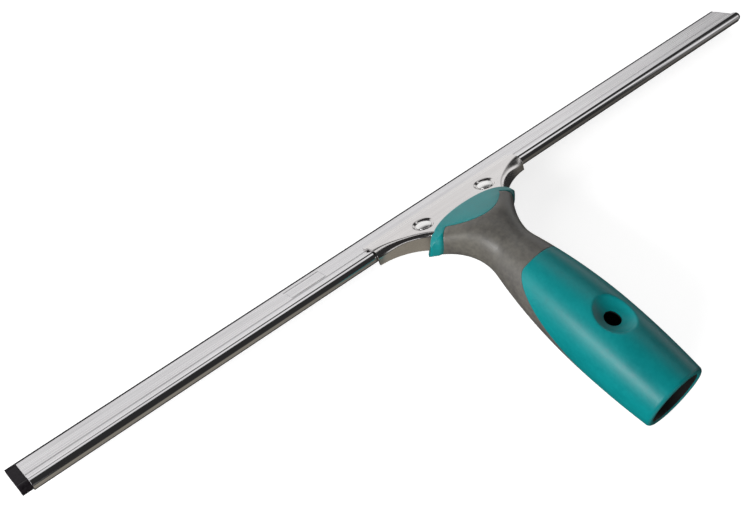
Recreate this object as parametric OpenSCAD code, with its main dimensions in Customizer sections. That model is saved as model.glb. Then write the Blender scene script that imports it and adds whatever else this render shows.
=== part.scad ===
// Window cleaning squeegee: a steel channel with a rubber blade, held in a
// riveted bracket on a two-tone handle with a socket for an extension pole.
// Millimetres. The origin is the centre of the socket's mouth, +Y runs along
// the handle to the blade, +X along the channel and +Z up.

/* [Channel] */
// Length of the steel channel
rail_len = 450; // [250:10:550]
// Depth of the channel from its front edge to the centre of its rolled back
rail_depth = 15.2; // [15:0.1:16.5]
// Outer diameter of the rolled back
tube_d = 6; // [5.8:0.1:6.2]
// Thickness of the channel's sheet
sheet_t = 0.6; // [0.5:0.05:0.7]
// Distance the lower lip stops short of the upper one
lip_step = 1; // [0:0.5:3]

/* [Rubber] */
// Length of the rubber blade
rubber_len = 456.5; // [450:0.5:460]
// Sideways offset of the rubber in the channel
rubber_shift = -1.5; // [-2:0.5:2]
// Thickness of the rubber between the lips
rubber_t = 2.3; // [2.1:0.1:2.4]
// Reach of the rubber past the channel's front edge
rubber_out = 2.2; // [1.2:0.1:3.5]

/* [Bracket] */
// Angle between the handle's axis and the channel
tilt = 29; // [27:0.5:31]
// Distance from the socket's mouth to the channel's front edge
head_reach = 153.9; // [152:0.1:156]
// Overall width of the bracket over the channel
bracket_w = 94.6; // [90:0.2:96]
// Sheet thickness of the bracket
bracket_t = 1; // [0.8:0.1:1.2]
// Radius of each hollow side of the bracket
side_r = 31.8; // [31:0.1:32.5]
// Distance between the two rivets
rivet_gap = 40; // [36:1:44]
// Distance of the rivets behind the channel's front edge
rivet_back = 20.6; // [20.4:0.1:21.5]
// Diameter of the rivet heads
rivet_head_d = 7.6; // [7:0.1:9]

/* [Handle] */
// Largest radius of the handle
belly_r = 18.4; // [17.5:0.1:19]
// Distance from the mouth to the thickest point
belly_at = 40; // [36:1:44]
// Smallest radius, at the neck
neck_r = 12.2; // [12:0.1:13]
// Half the width of the front collar
collar_w = 27; // [26:0.5:29]
// Thickness of the soft grip where it lies over the hard shell
grip_t = 2; // [1.5:0.1:2.2]

/* [Socket] */
// Inner diameter of the pole socket
socket_d = 25; // [24:0.2:25.2]
// Depth of the pole socket
socket_depth = 68; // [50:1:68]
// Diameter of the hole for the pole's locking button
lock_d = 8; // [6:0.2:9]
// Distance from the mouth to the locking hole
lock_at = 40; // [36:1:44]

/* [Hidden] */
$fn = 96;

// head sections are measured back and down from a line on the channel's face,
// lip_out behind its front edge
lip_out = 1;
tube_s = rail_depth - lip_out;
rubber_s = lip_out + rubber_out;
head_y = head_reach - lip_out * cos(tilt);
run_gap = 0.05;                           // running gap between sliding pieces
tube_r = tube_d / 2;
blade_gap = rubber_t + 2 * run_gap;       // space between the two lips
mid_h = sheet_t + blade_gap / 2;          // depth of the rubber's middle
bead_r = tube_r - sheet_t - run_gap;
rubber_low = mid_h + rubber_t / 2;        // underside of the rubber
// the rubber's edge and the handle's belly rest on the same plane
head_z = -belly_r + rubber_s * sin(tilt) + rubber_low * cos(tilt);

// blank maker's frame pressed in the channel's face
frame_x = -80.5;
frame_l = 20;
frame_d = 7.6;
frame_line = 0.5;
frame_sink = 0.12;

// bracket
plate_in = mid_h - tube_r - run_gap;      // underside of the top plate
plate_out = plate_in - bracket_t;
lip_at = 7;                               // the plate's front edge
ramp_end = 11.3;
side_x = bracket_w / 2 + 1.3;             // centre of the hollow sides
side_s = 50.6;
bend_s = 34.5;                            // the tang bends level here
wall_low = 4.8;                           // lower edge of the walls at the channel
wall_slope = 9.5;                         // the walls grow deeper to the rear
wrap_x = 43;                              // beyond this the walls wrap round the channel
wrap_r = tube_r + run_gap;
tang_w = 15;
tang_back = 86;                           // the tang ends here, from the mouth
tang_y = head_y - bend_s * cos(tilt) - plate_in * sin(tilt);
tang_z = head_z + bend_s * sin(tilt) - plate_in * cos(tilt);

// clip spring under the channel
clip_t = 0.8;
clip_hx = 34;
clip_top = mid_h + tube_r + run_gap + 0.03;
clip_lip = 2 * mid_h + run_gap;           // top of its front lip
clip_front = 8;
clip_back = 31;
shank_r = 2;
spacer_r = 2.7;

// handle
rear_arc = 400;                           // long arc behind the belly
neck_at = 99.6;                           // the narrowest point
join_at = 94.7;                           // the barrel's arc meets the neck's arc
front_arc = (join_at - belly_at) * (neck_at - belly_at) / (2 * (belly_r - neck_r));
join_slope = (join_at - belly_at) / front_arc;
neck_arc = (neck_at - join_at) / join_slope;
rim_r = 1.7;
dish_rim = 10.5;                          // edge and depth of the thumb dish
dish_deep = 5;
dish_r = (pow(dish_rim, 2) + pow(dish_deep, 2)) / (2 * dish_deep);
core_r = neck_r - 2.6;
core_end = 117;
sleeve_t = 0.9;
sleeve_r = socket_d / 2 + sleeve_t;
grip_edge = 83.3;                         // the hard shell's tongue ends here
grip_stop = 14;                           // the soft belly strip ends here
shoulder_at = 123;                        // the shoulder reaches its full width
shoulder_end = 133.5;
rim_out = 1;                              // the collar stands this proud at the sides
rim_wide = 3.5;                           // its band is this wide at the sides
rim_in = 4;
front_y = 121.7;                          // middle of the collar's front curve
front_b = 10;

// radius of the handle at a distance y from the mouth
function handle_r(y) =
    y < belly_at ? belly_r - pow(y - belly_at, 2) / (2 * rear_arc)
    : y < join_at ? belly_r - pow(y - belly_at, 2) / (2 * front_arc)
    : neck_r + pow(y - neck_at, 2) / (2 * neck_arc);

// outer skin as sections across the handle: round up to the neck, then widening
// into the shoulder that holds the bracket
function ease(y) = max(0, min(1, (y - neck_at) / (shoulder_at - neck_at)));
function past_neck(y) = max(0, y - neck_at);
function base_r(y) = handle_r(min(y, neck_at));
function flare(y) = base_r(y) + (collar_w + 0.6 - neck_r) * pow(ease(y), 1.9);
function slope_top(y) = 3 + (131.5 - y) * tan(tilt);
function soft_min(a, b) = -ln(exp(-a) + exp(-b));
function top_z(y) = y < neck_at ? base_r(y) : soft_min(neck_r + 0.04 * past_neck(y), slope_top(y));
function low_z(y) = -base_r(y) + 2.5 * pow(past_neck(y) / 32, 1.5);
function mid_z(y) = -7.5 * pow(ease(y), 2.3);
function bulge(y, up) = 2 + (up ? 0.65 : -0.3) * ease(y);
function signed_pow(v, p) = sign(v) * pow(abs(v), p);
function ring(y, n, out) = [for (i = [0:n - 1])
    let (a = 360 * i / n, e = 2 / bulge(y, sin(a) >= 0),
         h = sin(a) >= 0 ? top_z(y) - mid_z(y) : mid_z(y) - low_z(y))
    [(flare(y) + out) * signed_pow(cos(a), e), y, mid_z(y) + h * signed_pow(sin(a), e)]];

// the tongue's edge in the side view: how far the hard shell reaches at height z
function tongue_y(z) = max(grip_stop, grip_edge - 0.5 * pow(max(0, 11 - z), 1.55));
function front_edge(x) = front_y + front_b * sqrt(max(0, 1 - pow(x / collar_w, 2)));
function flap_edge(x) = min(116 + 0.03 * x * x, front_y - rim_wide
    + front_b * sqrt(max(0, 1 - pow(x / (collar_w - rim_in), 2))));

module in_head() translate([0, head_y, head_z]) rotate([-tilt, 0, 0]) children();

// a section drawn as [back, down] from the front edge, run along X
module section_run(length) rotate([90, 0, 90]) linear_extrude(length, center = true)
    mirror([1, 0]) mirror([0, 1]) children();

// an outline drawn as [x, back], from depth h1 down to depth h2
module plan_run(h1, h2) translate([0, 0, -h2]) linear_extrude(h2 - h1) mirror([0, 1]) children();

module along_handle() rotate([-90, 0, 0]) children();

module channel_rail() {
    color("lightgray") in_head() difference() {
        section_run(rail_len) difference() {
            union() {
                translate([tube_s, mid_h]) circle(tube_r);
                translate([-lip_out, 0]) square([rail_depth, mid_h]);
                translate([lip_step - lip_out, mid_h]) square([rail_depth - lip_step, mid_h]);
            }
            translate([tube_s, mid_h]) circle(tube_r - sheet_t);
            translate([-lip_out - 1, sheet_t]) square([rail_depth + 1, blade_gap]);
        }
        plan_run(-1, frame_sink) translate([frame_x, 4.9]) difference() {
            square([frame_l, frame_d], center = true);
            square([frame_l - 2 * frame_line, frame_d - 2 * frame_line], center = true);
        }
    }
}

module blade_rubber() {
    color("#1c1a1d") translate([rubber_shift, 0, 0]) in_head() section_run(rubber_len) union() {
        translate([tube_s, mid_h]) circle(bead_r);
        translate([-rubber_s, mid_h - rubber_t / 2]) square([rail_depth + rubber_out, rubber_t]);
    }
}

// the hollow sides, grown by g towards the bracket
module hollow_sides(g) for (m = [-1, 1])
    translate([m * side_x, side_s]) circle(side_r + g, $fn = 180);

module bracket_outline(g, front) difference() {
    translate([-bracket_w / 2, front]) square([bracket_w, bend_s + 0.6 - front]);
    hollow_sides(g);
}

// everything below the line along which the bracket's walls are trimmed
module below_walls() translate([0, -17, -wall_low]) rotate([wall_slope, 0, 0])
    translate([-100, -60, -40]) cube([200, 100, 40]);

module tang(extra = 0) translate([-tang_w / 2, tang_back - extra, tang_z])
    cube([tang_w, tang_y - tang_back + 0.6 + extra, bracket_t]);

// the last stretch at each side, where the walls follow the channel's rolled back
module wall_ends() difference() {
    children();
    cube([2 * wrap_x, 90, 60], center = true);
}

module bracket_shape() {
    in_head() {
        intersection() {
            section_run(bracket_w) polygon([[lip_at, -run_gap - bracket_t + 0.2], [lip_at, -run_gap],
                [lip_at + 1, -run_gap], [ramp_end, plate_in], [bend_s + 0.6, plate_in],
                [bend_s + 0.6, plate_out], [ramp_end + 0.3, plate_out],
                [lip_at + 0.8, -run_gap - bracket_t]]);
            plan_run(-10, 10) bracket_outline(0, 0);
        }
        difference() {
            plan_run(plate_in - 0.01, 12) difference() {
                bracket_outline(0, 17.2);
                bracket_outline(bracket_t, 0);
            }
            below_walls();
            wall_ends() section_run(bracket_w) translate([tube_s, mid_h]) square(20);
        }
        wall_ends() section_run(bracket_w) translate([tube_s, mid_h]) difference() {
            circle(wrap_r + bracket_t);
            circle(wrap_r);
            polygon([[0, 0], [0, -9], [-9, -9], [-9, 9], [9 * cos(60), 9 * sin(60)]]);
        }
    }
    tang();
}

module bracket_plate() {
    color("silver") difference() {
        bracket_shape();
        in_head() rivet_pair(shank_r, plate_out - 1, plate_in + 1);
        tang_holes();
    }
}

// two round bars at the rivets, from depth h1 down to depth h2
module rivet_pair(r, h1, h2) for (m = [-1, 1])
    translate([m * rivet_gap / 2, -rivet_back, -h2]) cylinder(r = r, h = h2 - h1);

module clip_spring() {
    color("darkgray") in_head() difference() {
        intersection() {
            section_run(2 * clip_hx) polygon([[clip_front, clip_lip], [10.8, clip_lip],
                [12.4, clip_top], [clip_back, clip_top], [clip_back, clip_top + clip_t],
                [12.1, clip_top + clip_t], [10.5, clip_lip + clip_t],
                [clip_front, clip_lip + clip_t]]);
            plan_run(-10, 20) difference() {
                translate([-60, 0]) square([120, 60]);
                hollow_sides(bracket_t + 0.3);
            }
        }
        rivet_pair(shank_r, clip_top - 1, clip_top + clip_t + 1);
    }
}

module rivets() {
    color("gainsboro") in_head() union() {
        rivet_pair(rivet_head_d / 2, plate_out - 0.6, plate_out);
        rivet_pair(shank_r, plate_out - 0.3, clip_top + clip_t + 0.3);
        rivet_pair(rivet_head_d / 2 - 0.6, clip_top + clip_t, clip_top + clip_t + 0.9);
    }
}

module rivet_spacers() {
    color("gray") in_head() difference() {
        rivet_pair(spacer_r, plate_in, clip_top);
        rivet_pair(shank_r, plate_in - 1, clip_top + 1);
    }
}

// a turned shape between two distances from the mouth, thinner by less
module turned(y1, y2, less, steps) along_handle() rotate_extrude($fn = 120)
    polygon(concat([[0, y1]],
        [for (i = [0:steps]) let (y = y1 + (y2 - y1) * i / steps) [handle_r(y) - less, y]],
        [[0, y2]]));

// side view of everything that belongs to the hard shell's outer skin
module tongue_side() rotate([90, 0, 90]) linear_extrude(60, center = true)
    polygon(concat([[-1, 24], [grip_edge, 24]],
        [for (z = [11:-1:-19]) [tongue_y(z), z]], [[grip_stop, -24], [-1, -24]]));

module barrel() difference() {
    turned(0, neck_at, 0, 48);
    // rounded rim of the mouth
    along_handle() rotate_extrude($fn = 120) difference() {
        translate([handle_r(0) - rim_r, -1]) square([4, 1 + rim_r]);
        translate([handle_r(0) - rim_r, rim_r]) circle(rim_r, $fn = 48);
    }
}

module core() union() {
    turned(grip_stop - 6, join_at, grip_t, 40);
    along_handle() translate([0, 0, 60]) cylinder(r = core_r, h = core_end - 60);
}

module tang_holes() for (y = [95, 107])
    translate([0, y, -core_r + 1.2]) cylinder(r = 1.5, h = 2 * core_r - 2.4);

module lock_hole(r) translate([0, lock_at, 8]) cylinder(r = r, h = 14);

module handle_shell() {
    color("teal") difference() {
        union() {
            intersection() { barrel(); tongue_side(); }
            core();
        }
        along_handle() translate([0, 0, -1]) cylinder(r = sleeve_r, h = socket_depth + 2.5);
        lock_hole(lock_d / 2);
        translate([0, lock_at, belly_r - dish_deep + dish_r]) sphere(dish_r);
        tang(0.01);
        tang_holes();
    }
}

// closed skin through the sections at the distances in ys, wider by out on each side
module skin(ys, out = 0) {
    n = 40;
    last = len(ys) - 1;
    polyhedron(points = [for (y = ys) each ring(y, n, out)], faces = concat(
        [[for (i = [0:n - 1]) i]],
        [for (k = [0:last - 1], i = [0:n - 1]) let (a = k * n + i, b = k * n + (i + 1) % n)
            [a, a + n, b + n, b]],
        [[for (i = [n - 1:-1:0]) last * n + i]]));
}

// plan of the collar: its front curve less the flap's edge
module collar_plan() translate([0, 0, -30]) linear_extrude(60)
    polygon(concat([for (i = [-24:24]) let (x = collar_w * sin(i * 3.75)) [x, front_edge(x)]],
        [[collar_w + 3, front_y], [collar_w + 3, front_y - rim_wide]],
        [for (i = [24:-1:-24]) let (x = collar_w * sin(i * 3.75)) [x, flap_edge(x)]],
        [[-collar_w - 3, front_y - rim_wide], [-collar_w - 3, front_y]]));

// everything in front of the flap's edge
module collar_front() translate([0, 0, -30]) linear_extrude(60)
    polygon(concat([[-collar_w - 9, 150], [-collar_w - 9, front_y - rim_wide]],
        [for (i = [-24:24]) let (x = collar_w * sin(i * 3.75)) [x, flap_edge(x)]],
        [[collar_w + 9, front_y - rim_wide], [collar_w + 9, 150]]));

module soft_grip() {
    color("#55524f") difference() {
        skin(concat([for (y = [grip_stop - 1:8:86]) y], [for (y = [91:2.5:shoulder_end]) y]));
        tongue_side();
        collar_front();
        core();
        bracket_pocket();
        tang(0.01);
    }
}

// room for the bracket and the clip spring inside the collar
module bracket_pocket() in_head() {
    difference() {
        plan_run(plate_out, 14) bracket_outline(0, 15);
        below_walls();
    }
    plan_run(plate_out, clip_top + clip_t + run_gap) bracket_outline(0, 15);
}

module front_collar() {
    color("darkcyan") difference() {
        intersection() {
            skin([for (y = [109:2.5:shoulder_end]) y], rim_out);
            collar_plan();
        }
        bracket_pocket();
        core();
        tang(0.01);
    }
}

module pole_socket() {
    color("#161616") difference() {
        along_handle() cylinder(r = sleeve_r, h = socket_depth + 1.5);
        along_handle() translate([0, 0, -1]) cylinder(d = socket_d, h = socket_depth + 1);
        lock_hole(lock_d / 2);
    }
}

module tang_pins() {
    color("silver") tang_holes();
}

channel_rail();
blade_rubber();
bracket_plate();
clip_spring();
rivets();
rivet_spacers();
handle_shell();
soft_grip();
front_collar();
pole_socket();
tang_pins();
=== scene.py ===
import math

import bmesh
import bpy
import numpy as np
from mathutils import Matrix, Vector


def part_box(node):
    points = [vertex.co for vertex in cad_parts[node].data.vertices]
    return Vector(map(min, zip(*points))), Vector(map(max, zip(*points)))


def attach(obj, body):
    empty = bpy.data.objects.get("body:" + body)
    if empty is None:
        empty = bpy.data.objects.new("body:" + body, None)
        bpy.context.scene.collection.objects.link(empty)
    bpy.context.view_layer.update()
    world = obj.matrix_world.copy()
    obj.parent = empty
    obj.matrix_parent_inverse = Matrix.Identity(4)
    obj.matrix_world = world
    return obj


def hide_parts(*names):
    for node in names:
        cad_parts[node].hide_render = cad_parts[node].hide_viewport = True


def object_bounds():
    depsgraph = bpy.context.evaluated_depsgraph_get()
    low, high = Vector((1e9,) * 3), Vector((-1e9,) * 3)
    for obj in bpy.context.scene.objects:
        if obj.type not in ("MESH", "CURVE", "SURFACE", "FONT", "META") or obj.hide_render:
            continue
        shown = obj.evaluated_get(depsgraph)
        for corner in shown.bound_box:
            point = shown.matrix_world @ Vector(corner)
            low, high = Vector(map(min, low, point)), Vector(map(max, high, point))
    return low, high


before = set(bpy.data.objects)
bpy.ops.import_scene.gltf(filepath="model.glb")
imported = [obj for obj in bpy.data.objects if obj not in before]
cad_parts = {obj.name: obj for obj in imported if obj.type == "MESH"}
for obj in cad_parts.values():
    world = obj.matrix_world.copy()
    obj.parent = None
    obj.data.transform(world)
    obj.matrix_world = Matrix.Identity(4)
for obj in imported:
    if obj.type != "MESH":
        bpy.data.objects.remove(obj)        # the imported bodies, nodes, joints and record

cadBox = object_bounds()
mm = 0.001
pi = math.pi
print("frame loaded")


def makeMesh(name, verts, faces, smoothAngle=40):
    # verts in metres; faces of any size; hard edges above smoothAngle degrees
    mesh = bpy.data.meshes.new(name)
    mesh.from_pydata([tuple(v) for v in verts], [], [tuple(int(i) for i in f) for f in faces])
    piece = bpy.data.objects.new(name, mesh)
    bpy.context.scene.collection.objects.link(piece)
    tidyMesh(piece, smoothAngle)
    return piece


def tidyMesh(piece, smoothAngle=40):
    bm = bmesh.new()
    bm.from_mesh(piece.data)
    bmesh.ops.remove_doubles(bm, verts=bm.verts, dist=1e-7)
    bmesh.ops.dissolve_degenerate(bm, edges=bm.edges, dist=1e-7)
    bmesh.ops.recalc_face_normals(bm, faces=bm.faces)
    bm.to_mesh(piece.data)
    bm.free()
    piece.data.shade_smooth()
    piece.data.set_sharp_from_angle(angle=math.radians(smoothAngle))


def applyModifiers(piece):
    graph = bpy.context.evaluated_depsgraph_get()
    mesh = bpy.data.meshes.new_from_object(piece.evaluated_get(graph))
    piece.modifiers.clear()
    old = piece.data
    piece.data = mesh
    bpy.data.meshes.remove(old)


def flattenShading(piece):
    # large faces keep their own normal where narrow rounded edges meet them
    mod = piece.modifiers.new("normals", "WEIGHTED_NORMAL")
    mod.keep_sharp = True
    mod.weight = 80
    applyModifiers(piece)


def cutAway(piece, *cutters):
    # takes closed cutters out of a closed piece, for good
    for cutter in cutters:
        mod = piece.modifiers.new("cut", "BOOLEAN")
        mod.operation = "DIFFERENCE"
        mod.solver = "EXACT"
        mod.object = cutter
    bpy.context.view_layer.update()
    applyModifiers(piece)
    for cutter in cutters:
        bpy.data.objects.remove(cutter)


def ringFaces(rows, n, start=0, closed=False):
    # quads between rows of n points each, every row a closed loop
    faces = []
    last = rows if closed else rows - 1
    for k in range(last):
        a, b = start + k * n, start + ((k + 1) % rows) * n
        faces += [(a + i, a + (i + 1) % n, b + (i + 1) % n, b + i) for i in range(n)]
    return faces


def gridFaces(rows, n, start=0):
    # quads between rows of n points each, every row open
    corners = [start + k * n + i for k in range(rows - 1) for i in range(n - 1)]
    return [(c, c + 1, c + n + 1, c + n) for c in corners]


def arc(centre, radius, fromDeg, toDeg, steps):
    return [(centre[0] + radius * math.cos(math.radians(fromDeg + (toDeg - fromDeg) * i / steps)),
             centre[1] + radius * math.sin(math.radians(fromDeg + (toDeg - fromDeg) * i / steps)))
            for i in range(steps + 1)]


# the head's own frame: x along the channel, s back from a line lipOut behind its front edge,
# h down from its face
head = dict(tilt=math.radians(29), lipOut=1.0, lipStep=1.0, midDepth=1.8, tubeBack=14.2, tubeR=3.0, sheet=0.6)
railLow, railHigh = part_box("channel_rail")
bladeLow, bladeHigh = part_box("blade_rubber")
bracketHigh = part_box("bracket_plate")[1]
cosTilt, sinTilt = math.cos(head["tilt"]), math.sin(head["tilt"])
lowLip = head["lipStep"] - head["lipOut"]
headY = railHigh.y / mm - head["lipOut"] * cosTilt
headZ = railLow.z / mm - lowLip * sinTilt + 2 * head["midDepth"] * cosTilt


def headPoint(x, s, h):
    return Vector((x, headY - s * cosTilt - h * sinTilt, headZ + s * sinTilt - h * cosTilt)) * mm


def runSection(name, outline, xFrom, xTo, bevel=0.12, steps=60, smoothAngle=35):
    # a closed outline of (s, h) points run along x, with its cut ends slightly broken
    outline = np.array(outline, float)
    before, after = np.roll(outline, 1, axis=0), np.roll(outline, -1, axis=0)
    along = (after - before) / np.maximum(np.linalg.norm(after - before, axis=1), 1e-9)[:, None]
    area = 0.5 * np.sum(outline[:, 0] * after[:, 1] - after[:, 0] * outline[:, 1])
    inward = np.stack([-along[:, 1], along[:, 0]], axis=1) * (1 if area > 0 else -1)
    small = outline + inward * bevel
    stations = [(xFrom, small), (xFrom + bevel, outline)]
    stations += [(xFrom + (xTo - xFrom) * i / steps, outline) for i in range(1, steps)]
    stations += [(xTo - bevel, outline), (xTo, small)]
    n = len(outline)
    verts = [headPoint(x, s, h) for x, ring in stations for s, h in ring]
    faces = ringFaces(len(stations), n)
    faces += [tuple(range(n)), tuple(range((len(stations) - 1) * n, len(stations) * n))]
    piece = makeMesh(name, verts, faces, smoothAngle)
    bm = bmesh.new()
    bm.from_mesh(piece.data)
    bmesh.ops.triangulate(bm, faces=[f for f in bm.faces if len(f.verts) > 4], ngon_method="EAR_CLIP")
    bm.to_mesh(piece.data)
    bm.free()
    return piece


class Wire:
    # one output socket; arithmetic on it adds Math nodes
    def __init__(self, graph, socket):
        self.graph = graph
        self.socket = socket

    def maths(self, operation, *values):
        return self.graph.node("ShaderNodeMath", dict(operation=operation), dict(enumerate(values)))

    def __add__(self, other): return self.maths("ADD", self, other)
    def __radd__(self, other): return self.maths("ADD", other, self)
    def __sub__(self, other): return self.maths("SUBTRACT", self, other)
    def __rsub__(self, other): return self.maths("SUBTRACT", other, self)
    def __mul__(self, other): return self.maths("MULTIPLY", self, other)
    def __rmul__(self, other): return self.maths("MULTIPLY", other, self)
    def __truediv__(self, other): return self.maths("DIVIDE", self, other)
    def __rtruediv__(self, other): return self.maths("DIVIDE", other, self)
    def __abs__(self): return self.maths("ABSOLUTE", self)
    def atLeast(self, other): return self.maths("MAXIMUM", self, other)
    def atMost(self, other): return self.maths("MINIMUM", self, other)


class Graph:
    # a node tree, and the one method that adds a node to it
    def __init__(self, tree, coordinates="Object"):
        self.tree = tree
        self.coordinates = coordinates
        tree.nodes.clear()

    def feed(self, node, inputs):
        for key, value in inputs.items():
            if isinstance(value, Wire):
                self.tree.links.new(value.socket, node.inputs[key])
            else:
                node.inputs[key].default_value = value

    def node(self, kind, settings=None, inputs=None, out=0):
        made = self.tree.nodes.new(kind)
        for key, value in (settings or {}).items():
            setattr(made, key, value)
        self.feed(made, inputs or {})
        return Wire(self, made.outputs[out])

    def point(self):
        return self.node("ShaderNodeTexCoord", out=self.coordinates)

    def place(self, scale=(1, 1, 1)):
        # the surface point in the piece's own metres, scaled along each axis
        return self.node("ShaderNodeMapping", dict(vector_type="POINT"),
                         {"Vector": self.point(), "Scale": scale})

    def along(self, direction):
        # distance of the point along a direction
        return self.node("ShaderNodeVectorMath", dict(operation="DOT_PRODUCT"),
                         {0: self.point(), 1: direction}, out="Value")

    def noise(self, where, scale, detail=3.0, rough=0.5):
        return self.node("ShaderNodeTexNoise", {},
                         {"Vector": where, "Scale": scale, "Detail": detail, "Roughness": rough})

    def fade(self, value, low, high, toLow=0.0, toHigh=1.0, kind="SMOOTHSTEP"):
        return self.node("ShaderNodeMapRange", dict(interpolation_type=kind, clamp=True),
                         {"Value": value, "From Min": low, "From Max": high,
                          "To Min": toLow, "To Max": toHigh})

    def mixColour(self, factor, colourA, colourB):
        # a Mix node set to colours takes them at inputs 6 and 7 and gives its result at output 2
        return self.node("ShaderNodeMix", dict(data_type="RGBA"),
                         {0: factor, 6: colourA, 7: colourB}, out=2)

    def bump(self, height, distance, strength=1.0):
        return self.node("ShaderNodeBump", {}, {"Height": height, "Distance": distance, "Strength": strength})


class Paint(Graph):
    # a material with one Principled shader
    def __init__(self, name, **plain):
        self.material = bpy.data.materials.new(name)
        self.material.use_nodes = True
        super().__init__(self.material.node_tree)
        self.shader = self.tree.nodes.new("ShaderNodeBsdfPrincipled")
        output = self.tree.nodes.new("ShaderNodeOutputMaterial")
        self.tree.links.new(self.shader.outputs[0], output.inputs[0])
        self.feed(self.shader, plain)

    def finish(self, colour, roughness, normal, **others):
        self.feed(self.shader, {"Base Color": colour, "Roughness": roughness, "Normal": normal, **others})
        return self.material


def wear(piece, material, slot, body, *nodes):
    # gives a finished piece its material and its body, and hides the imported nodes it stands for
    piece.data.materials.clear()
    piece.data.materials.append(material)
    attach(piece, body)
    if nodes:
        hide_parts(*nodes)
    return piece


def grey(value, warm=0.0):
    return (value * (1 + warm), value, value * (1 - warm), 1)


def steelPaint(name, dark, light, polish, grainAmount, rolledFrom=None):
    # sheet steel brushed along the channel; from rolledFrom mm back it is rolled bright instead
    paint = Paint(name, Metallic=1.0)
    lines = paint.noise(paint.place((3, 1500, 1500)), 1.0, 4.0, 0.65)
    streaks = paint.noise(paint.place((7, 300, 300)), 1.0, 3.0, 0.6)
    cloud = paint.noise(paint.place((16, 60, 60)), 1.0, 4.0, 0.55)
    grain = (lines * 0.5 + streaks * 0.5 - 0.5) * grainAmount
    tone = paint.fade(grain + (cloud - 0.5) * 0.4, -0.2, 0.2, kind="LINEAR")
    rough = polish + grain * 0.25 + (cloud - 0.5) * 0.12
    height = grain
    if rolledFrom is not None:
        back = (paint.along((0, -cosTilt, sinTilt)) + (headY * cosTilt - headZ * sinTilt) * mm) / mm
        rolled = paint.fade(back, rolledFrom - 0.3, rolledFrom + 0.5)
        rough = rough * (1 - rolled) + (0.09 + grain * 0.06) * rolled
        height = grain * (1 - rolled * 0.8)
    return paint.finish(paint.mixColour(tone, dark, light), rough.atLeast(0.06).atMost(0.6),
                        paint.bump(height, 0.00003, 0.6))


def mouldedPaint(name, dark, light, roughness, sheen=0.5):
    # moulded plastic with a fine spark-eroded grain and faint flow marks
    paint = Paint(name, **{"IOR": 1.46, "Specular IOR Level": sheen})
    grain = paint.noise(paint.place(), 2600.0, 2.0, 0.6)
    mottle = paint.noise(paint.place((70, 34, 70)), 1.0, 4.0, 0.6)
    fine = paint.noise(paint.place(), 700.0, 3.0, 0.55)
    tone = paint.fade(mottle * 0.65 + fine * 0.35, 0.36, 0.64, kind="LINEAR")
    rough = roughness + (mottle - 0.5) * 0.14 + (fine - 0.5) * 0.2
    return paint.finish(paint.mixColour(tone, dark, light), rough,
                        paint.bump(grain * 0.55 + fine * 0.45, 0.00006, 0.4))


def gripPaint(name):
    # soft moulded rubber: matt grain, rubbed and greasy patches
    paint = Paint(name, **{"IOR": 1.5, "Specular IOR Level": 0.62})
    grain = paint.noise(paint.place(), 1500.0, 3.0, 0.6)
    patches = paint.noise(paint.place((40, 26, 40)), 1.0, 5.0, 0.62)
    flecks = paint.noise(paint.place(), 430.0, 3.0, 0.7)
    tone = paint.fade(patches * 0.6 + flecks * 0.4, 0.36, 0.64, kind="LINEAR")
    rough = 0.43 + (patches - 0.5) * 0.2 + (flecks - 0.5) * 0.26
    return paint.finish(paint.mixColour(tone, (0.050, 0.047, 0.044, 1), (0.102, 0.096, 0.082, 1)), rough,
                        paint.bump(grain * 0.5 + flecks * 0.5, 0.0001, 0.5))


def rubberPaint(name):
    # black blade rubber with faint moulding lines along it
    paint = Paint(name, **{"IOR": 1.5, "Specular IOR Level": 0.06})
    lines = paint.noise(paint.place((4, 900, 900)), 1.0, 3.0, 0.6)
    specks = paint.noise(paint.place(), 900.0, 2.0, 0.6)
    tone = paint.fade(lines * 0.5 + specks * 0.5, 0.35, 0.65, kind="LINEAR")
    return paint.finish(paint.mixColour(tone, (0.004, 0.003, 0.004, 1), (0.014, 0.012, 0.014, 1)),
                        0.5 + (specks - 0.5) * 0.3, paint.bump(lines * 0.5 + specks * 0.5, 0.00005, 0.5))


def blackPlasticPaint(name):
    paint = Paint(name, IOR=1.45)
    grain = paint.noise(paint.place(), 1100.0, 3.0, 0.6)
    scuff = paint.noise(paint.place((90, 12, 90)), 1.0, 3.0, 0.6)
    return paint.finish(paint.mixColour(scuff, (0.003, 0.003, 0.003, 1), (0.012, 0.012, 0.012, 1)),
                        0.6 + (grain - 0.5) * 0.3, paint.bump(grain, 0.00005, 0.4))


channelSteel = steelPaint("channelSteel", (0.50, 0.49, 0.50, 1), (0.74, 0.73, 0.74, 1), 0.27, 1.0,
                          rolledFrom=11.6)
bracketSteel = steelPaint("bracketSteel", (0.52, 0.50, 0.50, 1), (0.68, 0.66, 0.65, 1), 0.17, 0.7)
rivetSteel = steelPaint("rivetSteel", grey(0.66, 0.01), grey(0.86, 0.01), 0.2, 0.5)
springSteel = steelPaint("springSteel", (0.34, 0.34, 0.36, 1), (0.52, 0.52, 0.54, 1), 0.32, 1.0)
tealPlastic = mouldedPaint("tealPlastic", (0.0003, 0.112, 0.118, 1), (0.0006, 0.142, 0.147, 1), 0.38, 0.4)
# the collar's teal is a lighter copy of the shell's teal: painted light on the up-facing flap
collarTealLit = mouldedPaint("collarTealLit", (0.001, 0.122, 0.126, 1), (0.003, 0.156, 0.160, 1), 0.34, 0.5)
softGrip = gripPaint("softGrip")
bladeRubber = rubberPaint("bladeRubber")
socketPlastic = blackPlasticPaint("socketPlastic")
print("materials made")


# steel channel: one folded sheet, open in front
channel = dict(nose=0.28, fillet=0.6, step=0.14, stepAt=9.3, frameAt=-80.5, frameLong=20.0, frameDeep=7.6,
               frameLine=0.5, frameSink=0.13, frameBack=4.9)


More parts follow.
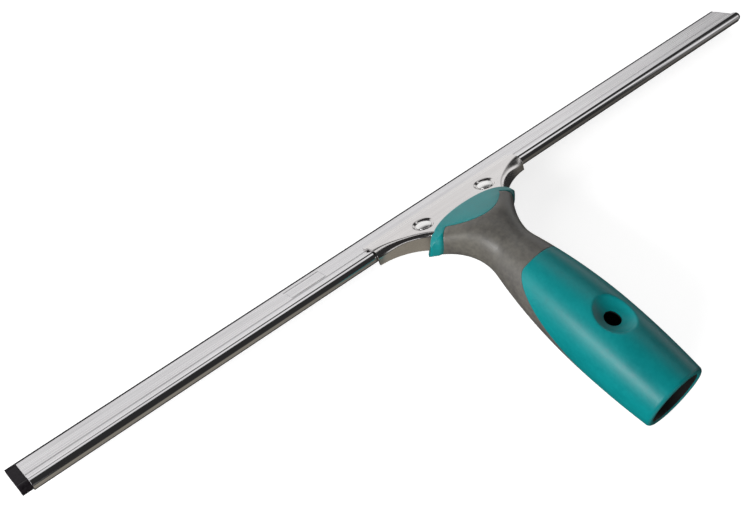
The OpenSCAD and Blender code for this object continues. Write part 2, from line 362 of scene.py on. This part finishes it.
def channelOutline():
    # the folded sheet: upper lip, round the back, lower lip, then back inside
    back, mid, tubeR, sheet = head["tubeBack"], head["midDepth"], head["tubeR"], head["sheet"]
    inR = tubeR - sheet
    fillet, nose, dip = channel["fillet"], channel["nose"], channel["step"]

    def roundUnder(lipFrom, outer):
        # from the lip's end to the tube's foot, above the middle, as (s, depth from the middle)
        level = mid - dip if outer else mid - sheet - dip
        r = tubeR if outer else inR
        joinR = fillet if outer else fillet * 0.6
        if outer:
            centreUp = level + joinR
            reach = math.sqrt((r + joinR) ** 2 - centreUp ** 2)
            centre = (back - reach, centreUp)
            turnTo = math.degrees(math.atan2(-centreUp, reach))
            foot = arc(centre, joinR, -90, turnTo, 8)
        else:
            reach = math.sqrt(r * r - level * level)
            foot = [(back - reach, level)]
        face = mid if outer else mid - sheet
        lip = [(lipFrom, face), (channel["stepAt"] - 0.5, face), (channel["stepAt"] - 0.2, face - dip * 0.15),
               (channel["stepAt"] + 0.2, face - dip * 0.85), (channel["stepAt"] + 0.5, face - dip)]
        return lip + foot

    front = -head["lipOut"]
    upOuter = roundUnder(front + nose, True)
    firstAngle = math.degrees(math.atan2(upOuter[-1][1], upOuter[-1][0] - back))
    outerTube = arc((back, 0), tubeR, firstAngle, -firstAngle, 56)[1:-1]
    lower = [(s, -u) for s, u in reversed(roundUnder(lowLip + nose, True))]
    lowerNose = [(lowLip + nose - nose * math.sin(math.radians(a)),
                  -(mid - nose + nose * math.cos(math.radians(a)))) for a in (30, 60, 90)]
    lowerNoseIn = [(lowLip, -(mid - sheet + nose * 0.4)), (lowLip + nose * 0.4, -(mid - sheet))]
    lowIn = [(s, -u) for s, u in roundUnder(lowLip + nose, False)]
    innerAngle = math.degrees(math.atan2(lowIn[-1][1], lowIn[-1][0] - back))
    innerTube = arc((back, 0), inR, innerAngle, -innerAngle, 48)[1:-1]
    upIn = list(reversed(roundUnder(front + nose, False)))
    upNoseIn = [(front + nose * 0.4, mid - sheet), (front, mid - sheet + nose * 0.4)]
    upNose = [(front + nose - nose * math.sin(math.radians(a)), mid - nose + nose * math.cos(math.radians(a)))
              for a in (90, 60, 30)]
    outside = upOuter + outerTube + lower + lowerNose
    inside = lowerNoseIn + lowIn + innerTube + upIn + upNoseIn
    return [(s, mid - u) for s, u in outside + inside + upNose]


def boxCutter(x, s, long, deep, h1, h2):
    corners = [(x + dx * long / 2, s + ds * deep / 2) for dx, ds in ((-1, -1), (1, -1), (1, 1), (-1, 1))]
    verts = [headPoint(px, ps, h) for h in (h1, h2) for px, ps in corners]
    faces = [(0, 1, 2, 3), (4, 5, 6, 7)] + [(i, (i + 1) % 4, 4 + (i + 1) % 4, 4 + i) for i in range(4)]
    return makeMesh("cutter", verts, faces)


rail = runSection("channelRail", channelOutline(), railLow.x / mm, railHigh.x / mm, 0.1, 90)
line = channel["frameLine"]
frameX, frameS = channel["frameAt"], channel["frameBack"]
sides = []
for sign in (-1, 1):
    sides.append(boxCutter(frameX, frameS + sign * (channel["frameDeep"] - line) / 2,
                           channel["frameLong"], line, -1, channel["frameSink"]))
    sides.append(boxCutter(frameX + sign * (channel["frameLong"] - line) / 2, frameS,
                           line, channel["frameDeep"] - 2 * line + 0.02, -1, channel["frameSink"]))
cutAway(rail, *sides)
tidyMesh(rail, 35)
flattenShading(rail)
wear(rail, channelSteel, "channel_steel", "channel", "channel_rail")
print("channel made")


# rubber blade
blade = dict(beadR=2.35, thick=2.3, edge=0.18, grooveFrom=1.6, grooveTo=2.6, grooveSide=0.3, grooveDeep=0.15,
             webFrom=1.0, webTo=9.0)
bladeOut = (bladeHigh.y / mm - headY + (head["midDepth"] - blade["thick"] / 2) * sinTilt) / cosTilt


def bladeOutline():
    # bead in the tube, flat web, thin groove in front of the lips and a square wiping edge
    half, edge, mid = blade["thick"] / 2, blade["edge"], head["midDepth"]
    join = math.degrees(math.asin(half / blade["beadR"]))
    bead = arc((head["tubeBack"], 0), blade["beadR"], 180 - join, -180 + join, 44)
    front = -bladeOut
    first, last, side = front + blade["grooveFrom"], front + blade["grooveTo"], blade["grooveSide"]
    floorAt = half - blade["grooveDeep"]
    upper = [(front + edge, half), (first, half), (first + side, floorAt), (last - side, floorAt), (last, half),
             (blade["webFrom"], half), (blade["webTo"], half)]
    lower = [(s, -u) for s, u in reversed(upper)]
    loop = upper + bead + lower + [(front, -half + edge), (front, half - edge)]
    return [(s, mid - u) for s, u in loop]


rubber = runSection("rubberBlade", bladeOutline(), bladeLow.x / mm, bladeHigh.x / mm, 0.12, 60)
flattenShading(rubber)
wear(rubber, bladeRubber, "blade_rubber", "blade", "blade_rubber")
print("rubber made")


# bracket: plate with hollow sides, bent down into walls behind the channel
bracket = dict(sheet=1.0, easeOver=0.5, sideX=48.6, sideS=50.6, sideR=31.8, bend=2.2, frontS=7.0,
               rampEnd=11.3,
               wallLow=4.8, wallSlope=math.radians(9.5), rearS=35.1, rivetX=20.0, rivetS=20.6,
               dishR=4.15, dishLip=5.6, dishDeep=0.9, gap=0.05)
wrapR = head["tubeR"] + bracket["gap"] + bracket["sheet"]
plateTop = head["midDepth"] - wrapR
bracketHalf = bracketHigh.x / mm


def smooth(t):
    t = np.clip(t, 0, 1)
    return t * t * (3 - 2 * t)


def plateDepth(x, s):
    # depth of the plate's upper face: down on the channel's flat in front, level behind, dished at the rivets
    onFlat = -bracket["gap"] - bracket["sheet"] * 0.62
    rampLong = bracket["rampEnd"] - bracket["frontS"]
    level = onFlat + (plateTop - onFlat) * smooth((s - bracket["frontS"] - 0.9) / rampLong)
    away = math.hypot(abs(x) - bracket["rivetX"], s - bracket["rivetS"])
    dished = 1 - smooth((away - bracket["dishR"]) / (bracket["dishLip"] - bracket["dishR"]))
    return level + bracket["dishDeep"] * dished


def bracketSkin():
    # upper skin of one half as a grid: columns go along the side's arc,
    # rows from the middle line over the bend
    firstAngle = math.atan2(wrapR + head["tubeBack"] - bracket["sideS"], bracketHalf - bracket["sideX"])
    lastS = bracket["rearS"]
    lastAngle = -math.pi + math.asin((bracket["sideS"] - lastS) / bracket["sideR"])
    if firstAngle > 0:
        firstAngle -= 2 * math.pi
    columns, flat, turn, wall = 110, 120, 12, 5
    grid = []
    frontRows = 16
    for k in range(frontRows):          # the straight strip in front of the tube's middle
        s = bracket["frontS"] + (head["tubeBack"] - bracket["frontS"]) * k / frontRows
        grid.append([(bracketHalf * i / flat, s, None) for i in range(flat + 1)])
    arcRows = []
    for k in range(columns + 1):
        t = k / columns
        angle = firstAngle + (lastAngle - firstAngle) * t
        blend = float(smooth(t / bracket["easeOver"]))
        r = wrapR + (bracket["bend"] - wrapR) * blend
        out = Vector((math.cos(angle), math.sin(angle)))
        centre = Vector((bracket["sideX"], bracket["sideS"]))
        foot = centre + out * (bracket["sideR"] + r)
        middle = head["tubeBack"] + (lastS - 1.5 - head["tubeBack"]) * t
        row = [(foot.x * i / flat, middle + (foot.y - middle) * (i / flat), None) for i in range(flat + 1)]
        for i in range(1, turn + 1):
            a = pi / 2 * i / turn
            place = foot - out * (r * math.sin(a))
            row.append((place.x, place.y, plateTop + r * (1 - math.cos(a))))
        endS, endH = row[-1][1], row[-1][2]
        low = bracket["wallLow"] + (endS - 17) * math.tan(bracket["wallSlope"])
        drop = max(0.02, low - endH)
        tip = Vector((row[-1][0], row[-1][1]))
        for i in range(1, wall + 1):
            row.append((tip.x, tip.y, endH + drop * i / wall))
        arcRows.append(row)
    return grid, arcRows, flat, turn + wall


def makeBracket():
    grid, arcRows, flat, extra = bracketSkin()
    halves = []
    for sign in (1, -1):
        verts, faces = [], []
        for row in grid:
            verts += [headPoint(sign * x, s, plateDepth(x, s)) for x, s, h in row]
        for row in arcRows:
            verts += [headPoint(sign * x, s, plateDepth(x, s) if h is None else h) for x, s, h in row]
        short, long = flat + 1, flat + 1 + extra
        faces += gridFaces(len(grid), short)
        base = len(grid) * short
        faces += [((len(grid) - 1) * short + i, (len(grid) - 1) * short + i + 1, base + i + 1, base + i)
                  for i in range(flat)]
        faces += gridFaces(len(arcRows), long, base)
        halves.append((verts, faces))
    verts = halves[0][0] + halves[1][0]
    offset = len(halves[0][0])
    faces = halves[0][1] + [tuple(offset + i for i in f) for f in halves[1][1]]
    piece = makeMesh("headBracket", verts, faces, 60)
    # all faces look outwards, so the sheet's thickness goes inwards
    up = headPoint(0, 20, -1) - headPoint(0, 20, 0)
    level = [p.normal.dot(up) for p in piece.data.polygons if abs(p.normal.dot(up.normalized())) > 0.9]
    if sum(1 if side > 0 else -1 for side in level) < 0:
        piece.data.flip_normals()
    thick = piece.modifiers.new("sheet", "SOLIDIFY")
    thick.thickness = bracket["sheet"] * mm
    thick.offset = -1
    thick.use_even_offset = True
    edge = piece.modifiers.new("edge", "BEVEL")
    edge.width = 0.00022
    edge.segments = 3
    edge.limit_method = "ANGLE"
    edge.angle_limit = math.radians(55)
    applyModifiers(piece)
    piece.data.shade_smooth()
    piece.data.set_sharp_from_angle(angle=math.radians(50))
    flattenShading(piece)
    return piece


headBracket = makeBracket()
wear(headBracket, bracketSteel, "bracket_steel", "handle", "bracket_plate")
print("bracket made")


# rivets in their dishes
rivet = dict(headR=3.8, rise=0.95, crown=0.45, round=0.3, shankR=2.0, tailR=3.2, tailLow=6.78,
             tailHigh=5.88, around=64)


def makeRivets():
    seat = plateTop + bracket["dishDeep"]
    top = seat - rivet["rise"]
    domeR = rivet["headR"] - rivet["round"]
    half = [(domeR * i / 10, top + rivet["crown"] * (i / 10) ** 2) for i in range(10)]
    half += [(domeR + rivet["round"] * math.sin(math.radians(a)),
              top + rivet["crown"] + rivet["round"] * (1 - math.cos(math.radians(a))))
             for a in range(0, 91, 15)]
    half += [(rivet["headR"] - 0.25, seat - 0.02), (rivet["shankR"], seat - 0.02),
             (rivet["shankR"], rivet["tailHigh"]), (rivet["tailR"] - 0.2, rivet["tailHigh"]),
             (rivet["tailR"], rivet["tailHigh"] + 0.2), (rivet["tailR"] - 0.35, rivet["tailLow"] - 0.1),
             (rivet["tailR"] - 0.9, rivet["tailLow"]), (0.0, rivet["tailLow"])]
    n = rivet["around"]
    verts, faces = [], []
    for sign in (-1, 1):
        start = len(verts)
        for r, h in half:
            verts += [headPoint(sign * bracket["rivetX"] + r * math.cos(2 * pi * i / n),
                                bracket["rivetS"] + r * math.sin(2 * pi * i / n), h) for i in range(n)]
        faces += ringFaces(len(half), n, start)
    return makeMesh("headRivets", verts, faces, 30)


headRivets = makeRivets()
flattenShading(headRivets)
wear(headRivets, rivetSteel, "rivet_steel", "handle", "rivets")
print("rivets made")


# handle: one skin shared by the shell, the grip and the collar
handle = dict(bellyR=18.4, bellyAt=40.0, neckR=12.2, neckAt=99.6, joinAt=94.7, rearArc=400.0,
              collarHalf=27.0, shoulderAt=123.0, rimOut=1.0, rimWide=3.5, rimIn=4.0, gripThick=2.0,
              coreR=9.6, coreEnd=117.0,
              sleeveR=13.45, socketEnd=69.5, gripEdge=83.3, gripStop=14.0, frontY=121.7, frontB=10.0,
              seam=0.22, seamDeep=0.28, mouthRound=1.7, boreRound=0.8, around=288)
joinFromBelly = handle["joinAt"] - handle["bellyAt"]
frontArc = joinFromBelly * (handle["neckAt"] - handle["bellyAt"]) / (2 * (handle["bellyR"] - handle["neckR"]))
neckArc = (handle["neckAt"] - handle["joinAt"]) * frontArc / joinFromBelly


def barrelR(y):
    y = np.asarray(y, float)
    fromBelly, fromNeck = (y - handle["bellyAt"]) ** 2 / 2, (y - handle["neckAt"]) ** 2 / 2
    return np.where(y < handle["bellyAt"], handle["bellyR"] - fromBelly / handle["rearArc"],
                    np.where(y < handle["joinAt"], handle["bellyR"] - fromBelly / frontArc,
                             handle["neckR"] + fromNeck / neckArc))


def ease(y): return np.clip((y - handle["neckAt"]) / (handle["shoulderAt"] - handle["neckAt"]), 0, 1)
def baseR(y): return barrelR(np.minimum(y, handle["neckAt"]))
def midZ(y): return -7.5 * ease(y) ** 2.3
def signedPow(v, p): return np.sign(v) * np.abs(v) ** p
def halfWide(y): return baseR(y) + (handle["collarHalf"] + 0.6 - handle["neckR"]) * ease(y) ** 1.9


def topZ(y):
    past = np.maximum(y - handle["neckAt"], 0)
    slope = 3 + (131.5 - y) * math.tan(head["tilt"])
    shoulder = -np.log(np.exp(-(handle["neckR"] + 0.04 * past)) + np.exp(-np.minimum(slope, 60)))
    return np.where(y < handle["neckAt"], baseR(y), shoulder)


def lowZ(y): return -baseR(y) + 2.5 * (np.maximum(y - handle["neckAt"], 0) / 32) ** 1.5


def skinPoint(y, angle, inset=0.0, out=0.0):
    # (x, z) of the handle's skin at distance y from the mouth and an angle round it, in mm
    upper = np.sin(angle) >= 0
    power = 2 / (2 + np.where(upper, 0.65, -0.3) * ease(y))
    rise = np.where(upper, topZ(y) - midZ(y), midZ(y) - lowZ(y)) - inset
    return ((halfWide(y) + out - inset) * signedPow(np.cos(angle), power),
            midZ(y) + rise * signedPow(np.sin(angle), power))


def solveEdge(limit, low, high):
    # for each angle, the y at which the skin crosses an edge given as limit(x, z)
    lowY, highY = np.full(len(angles), float(low)), np.full(len(angles), float(high))
    for _ in range(46):
        y = (lowY + highY) / 2
        x, z = skinPoint(y, angles)
        before = y < limit(x, z)
        lowY, highY = np.where(before, y, lowY), np.where(before, highY, y)
    return (lowY + highY) / 2


def tongueEdge(x, z):
    return np.maximum(handle["gripStop"], handle["gripEdge"] - 0.5 * np.maximum(0, 11 - z) ** 1.55)


def frontEdge(x, z=None):
    return handle["frontY"] + handle["frontB"] * np.sqrt(np.maximum(0, 1 - (x / handle["collarHalf"]) ** 2))


def flapEdge(x, z=None):
    inner = np.sqrt(np.maximum(0, 1 - (x / (handle["collarHalf"] - handle["rimIn"])) ** 2))
    return np.minimum(116 + 0.03 * x * x, handle["frontY"] - handle["rimWide"] + handle["frontB"] * inner)


angles = 2 * pi * np.arange(handle["around"]) / handle["around"]
tongueY = solveEdge(tongueEdge, 1, 95)
flapY = solveEdge(flapEdge, 95, 140)
frontY = solveEdge(frontEdge, 95, 145)


def skinRow(y, inset=0.0, out=0.0):
    x, z = skinPoint(y + 0 * angles, angles, inset, out)
    return np.stack([x, y + 0 * angles, z], axis=1)


def roundRow(y, r):
    # a true circle round the handle's axis
    return np.stack([r * np.cos(angles), y + 0 * angles, r * np.sin(angles)], axis=1)


def spread(first, last, count):
    return [first + (last - first) * i / count for i in range(count + 1)]


def capFaces(start, n):
    # joins the upper and the lower half of one ring, point by point
    return [(start + i, start + (i + 1) % n, start + (n - i - 1) % n, start + (n - i) % n)
            for i in range(n // 2)]


def fromRows(name, rows, closed, smoothAngle, caps=()):
    n = handle["around"]
    verts = np.concatenate(rows) * mm
    faces = ringFaces(len(rows), n, 0, closed)
    for k in caps:
        faces += capFaces(k % len(rows) * n, n)
    return makeMesh(name, verts, faces, smoothAngle)


# dish and hole for the pole's button
dish = dict(rim=10.5, deep=5.0, at=40.0, soft=0.28, hole=4.0, drill=(8, 24))
bowlR = (dish["rim"] ** 2 + dish["deep"] ** 2) / (2 * dish["deep"])
bowlZ = handle["bellyR"] - dish["deep"] + bowlR


def pressDish(row):
    x, y, z = row[:, 0], row[:, 1], row[:, 2]
    away = x ** 2 + (y - dish["at"]) ** 2
    bowl = np.where(away < bowlR ** 2, bowlZ - np.sqrt(np.maximum(bowlR ** 2 - away, 0)), 1e3)
    k = dish["soft"]
    gap = np.clip((bowl - z) / k, -60, 60)
    pressed = z - k * np.log1p(np.exp(-gap))      # soft minimum of the skin and the bowl
    row = row.copy()
    row[:, 2] = np.where(z > 0, pressed, z)
    return row


def drillHole(piece, n):
    # the button's hole, through the upper wall only
    ring = [(dish["hole"] * math.cos(2 * pi * i / n), dish["at"] + dish["hole"] * math.sin(2 * pi * i / n))
            for i in range(n)]
    drill = makeMesh("drill", [(x * mm, y * mm, z * mm) for z in dish["drill"] for x, y in ring],
                     [tuple(range(n)), tuple(range(n, 2 * n))] + ringFaces(2, n))
    cutAway(piece, drill)
    tidyMesh(piece)
    return piece


def makeShell():
    seam, deep = handle["seam"], handle["seamDeep"]
    rim, inner = handle["mouthRound"], handle["boreRound"]
    rimR = float(barrelR(rim)) - rim
    rows = [roundRow(handle["socketEnd"], 0.001), roundRow(handle["socketEnd"], handle["sleeveR"])]
    rows += [roundRow(y, handle["sleeveR"]) for y in spread(60, inner, 12)]
    rows += [roundRow(inner - inner * math.sin(a), handle["sleeveR"] + inner - inner * math.cos(a))
             for a in spread(0, pi / 2, 6)[1:]]
    rows += [roundRow(rim - rim * math.cos(a), rimR + rim * math.sin(a)) for a in spread(0, pi / 2, 10)]
    rows += [pressDish(skinRow(rim + (tongueY - seam - rim) * t)) for t in spread(0, 1, 190)[1:]]
    rows += [skinRow(tongueY - seam * 0.35, deep * 0.25), skinRow(tongueY, deep)]
    rows += [skinRow(tongueY + (handle["joinAt"] - tongueY) * t, handle["gripThick"])
             for t in spread(0, 1, 10)]
    rows += [roundRow(handle["joinAt"], handle["coreR"]), roundRow(handle["coreEnd"], handle["coreR"]),
             roundRow(handle["coreEnd"], 0.001)]
    shell = fromRows("handleShell", rows, False, 40)
    return drillHole(shell, 96)


def makeGrip():
    seam, deep = handle["seam"], handle["seamDeep"]
    start, end = tongueY, flapY
    rows = [skinRow(start, handle["gripThick"]), skinRow(start, deep)]
    rows += [skinRow(start + seam * 0.35, deep * 0.25)]
    rows += [skinRow(start + seam + (end - seam - start - seam) * t) for t in spread(0, 1, 110)]
    rows += [skinRow(end - seam * 0.35, deep * 0.25), skinRow(end, deep)]
    neckRow = handle["joinAt"] + 0.1
    inner = [skinRow(end + (neckRow - end) * t, handle["gripThick"] + 0.2) for t in spread(0, 1, 24)]
    inner += [skinRow(neckRow + (start - neckRow) * t, handle["gripThick"]) for t in spread(0, 1, 10)[1:-1]]
    return fromRows("softGrip", rows + inner, True, 40)


# front collar: its sides stand a little proud of the grip, with a rounded rim
collarRim = dict(gap=0.12, rise=0.6, edge=0.9, wall=1.4)


def makeCollar():
    deep, edge, out = handle["seamDeep"], collarRim["edge"], handle["rimOut"]
    rows = [skinRow(flapY, collarRim["wall"]), skinRow(flapY, deep)]
    rows += [skinRow(flapY + collarRim["gap"] + collarRim["rise"] * (1 - math.cos(a)), 0, out * math.sin(a))
             for a in spread(0, pi / 2, 6)]
    back = flapY + collarRim["gap"] + collarRim["rise"]
    rows += [skinRow(back + (frontY - edge - back) * t, 0, out) for t in spread(0, 1, 26)[1:]]
    rows += [skinRow(frontY - edge + edge * math.sin(a), edge * (1 - math.cos(a)), out)
             for a in spread(0, pi / 2, 8)[1:]]
    return fromRows("frontCollar", rows, False, 40, caps=(0, -1))


shell = makeShell()
wear(shell, tealPlastic, "teal_plastic", "handle", "handle_shell")
grip = makeGrip()
wear(grip, softGrip, "soft_grip", "handle", "soft_grip")
collar = makeCollar()
wear(collar, collarTealLit, "collar_plastic", "handle", "front_collar")
print("handle made")


# black sleeve in the socket
sleeve = dict(outR=13.4, inR=12.5, lip=0.35, start=0.5, deep=68.0, end=69.5)


def makeSleeve():
    outR, inR, lip, start = sleeve["outR"], sleeve["inR"], sleeve["lip"], sleeve["start"]
    rows = [roundRow(sleeve["end"], 0.001), roundRow(sleeve["end"], outR), roundRow(40, outR),
            roundRow(start + lip, outR)]
    rows += [roundRow(start + lip - lip * math.sin(a), outR - lip + lip * math.cos(a))
             for a in spread(0, pi / 2, 4)[1:]]
    rows += [roundRow(start + lip - lip * math.cos(a), inR + lip - lip * math.sin(a))
             for a in spread(0, pi / 2, 4)]
    rows += [roundRow(y, inR) for y in spread(4, sleeve["deep"], 16)] + [roundRow(sleeve["deep"], 0.001)]
    made = fromRows("socketSleeve", rows, False, 40)
    return drillHole(made, 72)


wear(makeSleeve(), socketPlastic, "socket_plastic", "handle", "pole_socket")
print("sleeve made")


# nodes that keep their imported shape
for node in ("clip_spring", "rivet_spacers", "tang_pins"):
    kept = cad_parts[node]
    kept.data.materials.clear()
    kept.data.materials.append(springSteel)
    kept.data.shade_smooth()
    kept.data.set_sharp_from_angle(angle=math.radians(30))


# floor, light and camera
studio = dict(floorSize=9.0, floorGap=0.00005, floorTone=0.45, floorGlow=0.78, band=1.1, top=0.035,
              beige=(0.36, 0.335, 0.28, 1))
floorZ = cadBox[0].z - studio["floorGap"]
half = studio["floorSize"] / 2
floorCorners = ((-half, -half), (half, -half), (half, half), (-half, half))
floor = makeMesh("floor", [(x, y, floorZ) for x, y in floorCorners], [(0, 1, 2, 3)])
if floor.data.polygons[0].normal.z < 0:
    floor.data.flip_normals()
floorPaint = Paint("floorPaint", **{"Specular IOR Level": 0.0, "Emission Strength": studio["floorGlow"]})
cloud = floorPaint.noise(floorPaint.place(), 3.0, 3.0, 0.5)
floor.data.materials.append(floorPaint.finish(
    floorPaint.mixColour(cloud, grey(studio["floorTone"]), grey(studio["floorTone"] * 1.01)),
    0.9 + (cloud - 0.5) * 0.05, floorPaint.bump(cloud, 0.0001, 0.05), **{"Emission Color": grey(1.0)}))
floor.visible_glossy = False
floor.visible_diffuse = False

backdrop = dict(across=(0.71, 0.51, -0.49), offset=0.02, halfWide=0.05, wider=0.16, dim=0.42)
world = bpy.data.worlds.new("studio")
bpy.context.scene.world = world
world.use_nodes = True
sky = Graph(world.node_tree, "Generated")
east, north, up = (sky.along(axis) for axis in ((1, 0, 0), (0, 1, 0), (0, 0, 1)))
# a bright band in front of the head, a long strip overhead on the right, a short ledge low
# behind, and a dim warm floor
around = sky.fade(north, -0.42, 0.05).atLeast(sky.fade(east, 0.66, 0.86))
below = sky.fade(up, -0.16, -0.05).atLeast(sky.fade(up, -0.72, -0.5) * sky.fade(north, 0.45, 0.65))
dimmed = 1 - backdrop["dim"] * sky.fade(east, 0.61, 0.73) * sky.fade(north, 0.4, 0.6)
band = below * sky.fade(up, 0.45, 0.22) * around * dimmed
across = abs(sky.along(backdrop["across"]) - backdrop["offset"])
across = across - (backdrop["halfWide"] + backdrop["wider"] * sky.fade(north, -0.3, 0.6))
strip = sky.fade(across, 0.04, -0.04) * sky.fade(up, 0.30, 0.50) * sky.fade(east, -0.05, 0.08)
ledge = sky.fade(up, 0.24, 0.32) * sky.fade(up, 0.54, 0.46) * sky.fade(north, -0.48, -0.60)
ledge = ledge * sky.fade(east, 0.08, -0.02)
warm = sky.fade(north, -0.36, -0.70) * sky.fade(up, 0.24, 0.02) * (0.25 + 0.75 * sky.fade(east, 0.65, 0.15))
lit = (band + strip + ledge).atMost(1.0)
skyColour = sky.mixColour(warm * (1 - lit), sky.mixColour(lit, grey(studio["top"]), grey(studio["band"])),
                          studio["beige"])
background = sky.node("ShaderNodeBackground", {}, {"Color": skyColour, "Strength": 1.0})
worldOut = sky.tree.nodes.new("ShaderNodeOutputWorld")
sky.feed(worldOut, {"Surface": background})


def softBox(name, place, aim, wide, tall, power, inGloss):
    data = bpy.data.lights.new(name, "AREA")
    data.shape = "RECTANGLE"
    data.size, data.size_y, data.energy = wide, tall, power
    lamp = bpy.data.objects.new(name, data)
    lamp.location = place
    lamp.rotation_euler = (Vector(aim) - Vector(place)).to_track_quat("-Z", "Y").to_euler()
    lamp.visible_glossy = inGloss
    lamp.visible_camera = False
    bpy.context.scene.collection.objects.link(lamp)


softBox("keyLeft", (-1.9, 0.35, 0.75), (0, 0.08, 0), 0.9, 0.45, 20.0, True)
softBox("sideLeft", (-1.6, -0.35, 0.5), (0, 0.08, 0), 1.2, 0.8, 46.0, False)
softBox("frontLow", (0.1, 1.6, 0.5), (0, 0.12, 0), 1.2, 0.6, 20.0, False)

camera = dict(lens=50.86, place=(-0.25143, -0.06611, 0.38748), right=(0.7575, -0.650573, 0.054301),
              up=(0.500872, 0.632506, 0.590816), back=(-0.418715, -0.420345, 0.804977))
lensData = bpy.data.cameras.new("camera")
lensData.lens = camera["lens"]
lensData.sensor_width = 36.0
lensData.clip_start = 0.01
lensData.clip_end = 50
viewer = bpy.data.objects.new("camera", lensData)
bpy.context.scene.collection.objects.link(viewer)
turn = Matrix((camera["right"], camera["up"], camera["back"])).transposed()
viewer.matrix_world = Matrix.Translation(camera["place"]) @ turn.to_4x4()
bpy.context.scene.camera = viewer
bpy.context.scene.view_settings.view_transform = "Standard"
print("studio made")
